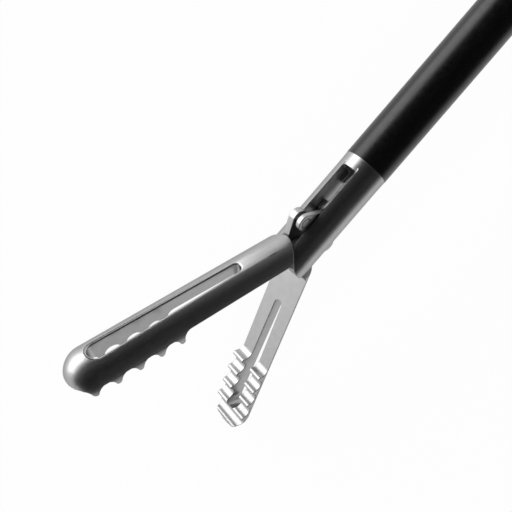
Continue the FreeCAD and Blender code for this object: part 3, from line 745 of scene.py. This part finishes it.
class GRASPER_OT_yoke(bpy.types.Operator):
    """Makes the steel yoke that carries the jaws, and the pivot rivet."""
    bl_idname = "grasper.yoke"
    bl_label = "Yoke"

    def execute(self, context):
        y = in_mm(context.scene.grasper_yoke)
        pins = in_mm(context.scene.grasper_pins)
        build("yoke_body", yoke_mesh(y, pins), TIP, "rotor",
              finish("ground_steel_tip"), ["yoke"], edge=y.edge)
        pin = cylinder(pins.pivot - PIVOT_UNDER, -BAR, BAR)
        head = pins.pivot + y.edge
        pin = combine(pin, cylinder(head, y.slot_half + y.edge, BAR), "UNION")
        pin = combine(pin, cylinder(head, -BAR, -y.slot_half - y.edge), "UNION")
        stock = turned([(-RIVET_STOCK, 0), (-RIVET_STOCK, y.radius), (RIVET_STOCK, y.radius),
                        (RIVET_STOCK, 0)], YOKE_STEPS)
        pin = combine(pin, stock, "INTERSECT")
        build("pivot_rivet", pin, TIP, "rotor", finish("ground_steel_tip"),
              ["pivot_pin"])
        return {"FINISHED"}


class GRASPER_OT_jaws(bpy.types.Operator):
    """Makes the two toothed, windowed jaws with their tail rivets."""
    bl_idname = "grasper.jaws"
    bl_label = "Jaws"

    def execute(self, context):
        scene = context.scene
        j, y, pins = in_mm(scene.grasper_jaw), in_mm(scene.grasper_yoke), in_mm(scene.grasper_pins)
        for upper, letter in ((True, "a"), (False, "b")):
            body = "upper_jaw" if upper else "lower_jaw"
            place = jaw_place(upper)
            build("toothed_jaw_" + letter, jaw_mesh(j, y, pins, upper), place, body,
                  finish("ground_steel_jaw"), ["jaw_" + letter], edge=j.edge)
            x, z = tail_shut(upper)
            reach = y.slot_half - j.gap
            rivet = cylinder(pins.tail - UNDER, -reach, reach, (x, z))
            build("tail_rivet_" + letter, rivet, place, body,
                  finish("turned_pin_steel"), ["tail_pin_" + letter], edge=RIVET_EDGE)
        return {"FINISHED"}


class GRASPER_OT_links(bpy.types.Operator):
    """Makes the two links and the rod pin. The pull rod stays as packed."""
    bl_idname = "grasper.links"
    bl_label = "Links and rod pin"

    def execute(self, context):
        scene = context.scene
        j, y, pins = in_mm(scene.grasper_jaw), in_mm(scene.grasper_yoke), in_mm(scene.grasper_pins)
        rod_x = rod_pin_x()
        low, high = pins.blade_half + j.gap, y.slot_half - j.gap
        for upper, letter in ((True, "a"), (False, "b")):
            x, z = tip_point("upper_link_pin" if upper else "lower_link_pin")
            span = (-high, -low) if upper else (low, high)
            link = hull([(x, z, j.knuckle), (rod_x, 0, pins.link_end)], *span)
            hole = pins.rod if upper else pins.rod + FIT
            link = combine(link, cylinder(pins.tail + FIT, -LINK_DRILL, LINK_DRILL, (x, z)))
            link = combine(link, cylinder(hole, -LINK_DRILL, LINK_DRILL, (rod_x, 0)))
            body = "upper_link" if upper else "lower_link"
            build("link_plate_" + letter, link, TIP, body,
                  finish("ground_steel_tip"), ["link_" + letter], edge=LINK_EDGE)
        pin = cylinder(pins.rod - UNDER, -high, high, (rod_x, 0))
        build("rod_rivet", pin, TIP, "upper_link", finish("turned_pin_steel"),
              ["rod_pin"], edge=ROD_PIN_EDGE)
        return {"FINISHED"}


def rod_pin_x():
    """Rod pin's place along the shaft from the pivot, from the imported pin."""
    low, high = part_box("rod_pin")
    return ((low.x + high.x) / 2 - PIVOT.x) / MM


# Pieces of moulded plastic, each with the rounding of its edges in millimetres
MOULDED = {"rotation_knob": 0.3, "shell_left": 0.5, "shell_right": 0.5, "thumb_lever": 0.5,
           "hf_collar": 0.2}
MERGE = 0.001 * MM


class GRASPER_OT_moulded(bpy.types.Operator):
    """Makes the moulded pieces of knob and handle, with edges rounded as a mould leaves them."""
    bl_idname = "grasper.moulded"
    bl_label = "Knob and handle"

    def execute(self, context):
        for key, edge in MOULDED.items():
            bm = bmesh.new()
            bm.from_mesh(NODES[key].data)
            bmesh.ops.remove_doubles(bm, verts=bm.verts[:], dist=MERGE)
            build("moulded_" + key, bm, Matrix.Identity(4), NODES[key]["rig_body"],
                  finish("moulded_black_nylon"), [key], edge=edge)
        return {"FINISHED"}


class GRASPER_OT_plain_nodes(bpy.types.Operator):
    """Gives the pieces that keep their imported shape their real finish."""
    bl_idname = "grasper.plain_nodes"
    bl_label = "Finishes"

    def execute(self, context):
        plan = {
            "turned_pin_steel": ["pull_rod", "retaining_ring", "screw_front", "screw_rear",
                                 "screw_grip", "lever_pin", "rod_ball", "flush_port"],
            "drawn_tube_steel": ["inner_tube", "knob_hub"],
            "white_guide_plastic": ["rod_bushing"],
            "matt_grey_silicone": ["shaft_seal", "flush_cap"],
            "plated_brass": ["hf_pin"],
        }
        for name, nodes in plan.items():
            for key in nodes:
                mesh = NODES[key].data
                mesh.materials.clear()
                mesh.materials.append(finish(name))
        return {"FINISHED"}


class GRASPER_OT_stage(bpy.types.Operator):
    """Makes the pale floor, the studio light and the camera."""
    bl_idname = "grasper.stage"
    bl_label = "Stage"

    def execute(self, context):
        scene = context.scene
        scene.view_settings.view_transform = "Standard"
        make_floor()
        make_lights()
        make_world(scene)
        make_camera(scene)
        return {"FINISHED"}


# Stage, in metres

FLOOR_SHARE = 0.96      # share of pure white in what is seen directly; the rest holds the shadow
FLOOR_HALF = 6.0
FLOOR_GAP = 0.0002
MIDDLE_X = 0.1
KEY_Y = -0.45
KEY_TOP = 0.36
KEY_LEFT = 0.05
KEY_RIGHT = 0.75
KEY_RADIANCE = 2.4
FILL_SIZE = (1.8, 0.9)
FILL_RADIANCE = 0.9
FILL_DROP = 0.02
FLAG_Z = 0.6
FLAG_DEG = 46           # from straight up to the flag's near edge, seen from the tip
FLAG_RADIANCE = 0.015
CARD_LEFT = MIDDLE_X - 1.6
CARD_RIGHT = MIDDLE_X + 2.5
SIDE_Y = 0.5
SIDE_RADIANCE = 0.04
# Grey card lying on the floor, seen only in gloss: a painted reflection of the shaded floor beside
# the object
SHADE_CARD_LEFT = -0.5
SHADE_CARD_Y = 0.09
SHADE_CARD_RISE = 0.001
SHADE_CARD_RADIANCE = 0.5
SKY_STRENGTH = 0.5

CAMERA_AT = (0.3042702, -0.0024991, 0.0625866)
CAMERA_RIGHT = (-0.650096, 0.759085, -0.033996)
CAMERA_UP = (-0.758103, -0.650983, -0.038607)
SENSOR_MM = 36.0
LENS_MM = 42.626
HALF_PIXEL = 0.5 / 512
CLIP = (0.001, 20.0)


def seen_directly(tree):
    """One for camera, glossy and transmission rays, so that metal shows the background too."""
    rays = node(tree, "ShaderNodeLightPath").outputs
    first = node(tree, "ShaderNodeMath", {"operation": "MAXIMUM"},
                 {0: rays["Is Camera Ray"], 1: rays["Is Glossy Ray"]})
    both = node(tree, "ShaderNodeMath", {"operation": "MAXIMUM"},
                {0: first.outputs[0], 1: rays["Is Transmission Ray"]})
    return both.outputs[0]


def stage_object(name, bm, material):
    """Object of the stage from a bmesh, linked to the scene."""
    mesh = bpy.data.meshes.new(name)
    bm.to_mesh(mesh)
    bm.free()
    mesh.materials.append(material)
    obj = bpy.data.objects.new(name, mesh)
    bpy.context.scene.collection.objects.link(obj)
    return obj


def make_floor():
    """Pale floor just under the grip: white where seen directly, but holding a faint shadow."""
    bm = bmesh.new()
    level = Matrix.Translation((MIDDLE_X, 0, CAD_BOX[0][2] - FLOOR_GAP))
    bmesh.ops.create_grid(bm, x_segments=1, y_segments=1, size=FLOOR_HALF, matrix=level)
    material, tree = bare_material("pale_floor")
    matt = node(tree, "ShaderNodeBsdfDiffuse", {"Color": (*linear("#F4F4F4"), 1)})
    white = node(tree, "ShaderNodeEmission", {"Color": (1, 1, 1, 1), "Strength": 1.0})
    share = node(tree, "ShaderNodeMath", {"operation": "MULTIPLY"}, {0: seen_directly(tree)})
    share.inputs[1].default_value = FLOOR_SHARE
    blend = node(tree, "ShaderNodeMixShader", {},
                 {0: share.outputs[0], 1: matt.outputs[0], 2: white.outputs[0]})
    finish_material(tree, blend)
    stage_object("floor", bm, material)


def card(name, corners, radiance):
    """Studio card that the camera doesn't see: it shows in the object's gloss, and shades the
    object too unless a caller switches that off.
    """
    bm = bmesh.new()
    bm.faces.new([bm.verts.new(corner) for corner in corners])
    material, tree = bare_material(name)
    glow = node(tree, "ShaderNodeEmission", {"Color": (1, 1, 1, 1), "Strength": radiance})
    finish_material(tree, glow)
    obj = stage_object(name, bm, material)
    obj.visible_camera = False
    return obj


def level_corners(left, low_y, z):
    """Corners of a level card that reaches to the cards' common right and far ends."""
    return [(left, low_y, z), (CARD_RIGHT, low_y, z), (CARD_RIGHT, SIDE_Y, z), (left, SIDE_Y, z)]


def area_light(name, centre, size_x, size_y, direction, radiance, glossy=True):
    """Rectangular lamp of a given radiance that shines along a direction."""
    data = bpy.data.lights.new(name, "AREA")
    data.shape = "RECTANGLE"
    data.size = size_x
    data.size_y = size_y
    data.energy = radiance * math.pi * size_x * size_y
    obj = bpy.data.objects.new(name, data)
    bpy.context.scene.collection.objects.link(obj)
    aim = Vector(direction).to_track_quat("-Z", "Y").to_matrix().to_4x4()
    obj.matrix_world = Matrix.Translation(centre) @ aim
    obj.visible_glossy = glossy
    obj.visible_camera = False


def make_lights():
    """Long softbox on the grip's side, fill and black flag above, a dark card behind, and a grey
    card on the floor that only gloss sees: painted shade, the floor's shadow as metal reflects it.
    """
    floor = CAD_BOX[0][2]
    middle = ((KEY_LEFT + KEY_RIGHT) / 2, KEY_Y, (KEY_TOP + floor) / 2)
    area_light("softbox", middle, KEY_RIGHT - KEY_LEFT, KEY_TOP - floor, (0, 1, 0), KEY_RADIANCE)
    area_light("overhead fill", (MIDDLE_X, 0, FLAG_Z - FILL_DROP), *FILL_SIZE, (0, 0, -1),
               FILL_RADIANCE, glossy=False)
    low_y = -FLAG_Z * math.tan(math.radians(FLAG_DEG))
    card("black flag", level_corners(CARD_LEFT, low_y, FLAG_Z), FLAG_RADIANCE)
    side = [(CARD_LEFT, SIDE_Y, floor), (CARD_RIGHT, SIDE_Y, floor),
            (CARD_RIGHT, SIDE_Y, FLAG_Z), (CARD_LEFT, SIDE_Y, FLAG_Z)]
    card("dark card", side, SIDE_RADIANCE)
    # Painted shade: a grey card on the floor that only glossy rays see, standing in for the floor's
    # shadow in the metal's reflections
    floor_shade_card = card("painted floor shade card", level_corners(SHADE_CARD_LEFT, SHADE_CARD_Y, floor + SHADE_CARD_RISE),
                 SHADE_CARD_RADIANCE)
    floor_shade_card.visible_shadow = False
    floor_shade_card.visible_diffuse = False


def make_world(scene):
    """White backdrop for what sees it directly, and an even grey sky for the rest."""
    world = bpy.data.worlds.new("studio")
    scene.world = world
    world.use_nodes = True
    tree = world.node_tree
    tree.nodes.clear()
    sky = node(tree, "ShaderNodeBackground", {"Color": (1, 1, 1, 1), "Strength": SKY_STRENGTH})
    white = node(tree, "ShaderNodeBackground", {"Color": (1, 1, 1, 1), "Strength": 1.0})
    blend = node(tree, "ShaderNodeMixShader", {},
                 {0: seen_directly(tree), 1: sky.outputs[0], 2: white.outputs[0]})
    node(tree, "ShaderNodeOutputWorld", {}, {"Surface": blend.outputs[0]})


def make_camera(scene):
    """Camera almost straight above the tip, as the photograph has it."""
    data = bpy.data.cameras.new("camera")
    data.sensor_width = SENSOR_MM
    data.lens = LENS_MM
    data.shift_x = -HALF_PIXEL
    data.shift_y = HALF_PIXEL
    data.clip_start, data.clip_end = CLIP
    camera = bpy.data.objects.new("camera", data)
    scene.collection.objects.link(camera)
    right, up = Vector(CAMERA_RIGHT), Vector(CAMERA_UP)
    turn = Matrix((right, up, right.cross(up))).transposed().to_4x4()
    camera.matrix_world = Matrix.Translation(CAMERA_AT) @ turn
    scene.camera = camera


class GRASPER_PT_panel(bpy.types.Panel):
    """Lists the pieces of the grasper."""
    bl_idname = "GRASPER_PT_panel"
    bl_label = "Grasper"
    bl_space_type = "VIEW_3D"
    bl_region_type = "UI"
    bl_category = "Grasper"

    def draw(self, context):
        for operator in OPERATORS:
            self.layout.operator(operator.bl_idname)


OPERATORS = [GRASPER_OT_sleeve, GRASPER_OT_yoke, GRASPER_OT_jaws, GRASPER_OT_links,
             GRASPER_OT_moulded, GRASPER_OT_plain_nodes, GRASPER_OT_stage]
GROUPS = {
    "grasper_yoke": GrasperYokeSizes,
    "grasper_jaw": GrasperJawSizes,
    "grasper_pins": GrasperPinSizes,
    "grasper_finishes": GrasperFinishes,
}


def register():
    """Registers the sizes, the operators and the panel."""
    for key, group in GROUPS.items():
        bpy.utils.register_class(group)
        setattr(bpy.types.Scene, key, PointerProperty(type=group))
    for operator in OPERATORS:
        bpy.utils.register_class(operator)
    bpy.utils.register_class(GRASPER_PT_panel)


def unregister():
    """Takes everything back out."""
    bpy.utils.unregister_class(GRASPER_PT_panel)
    for operator in reversed(OPERATORS):
        bpy.utils.unregister_class(operator)
    for key, group in GROUPS.items():
        delattr(bpy.types.Scene, key)
        bpy.utils.unregister_class(group)


def main():
    """Makes the whole object and its stage."""
    register()
    bpy.ops.grasper.sleeve()
    bpy.ops.grasper.yoke()
    bpy.ops.grasper.jaws()
    bpy.ops.grasper.links()
    bpy.ops.grasper.moulded()
    bpy.ops.grasper.plain_nodes()
    bpy.ops.grasper.stage()


if __name__ == "__main__":
    main()
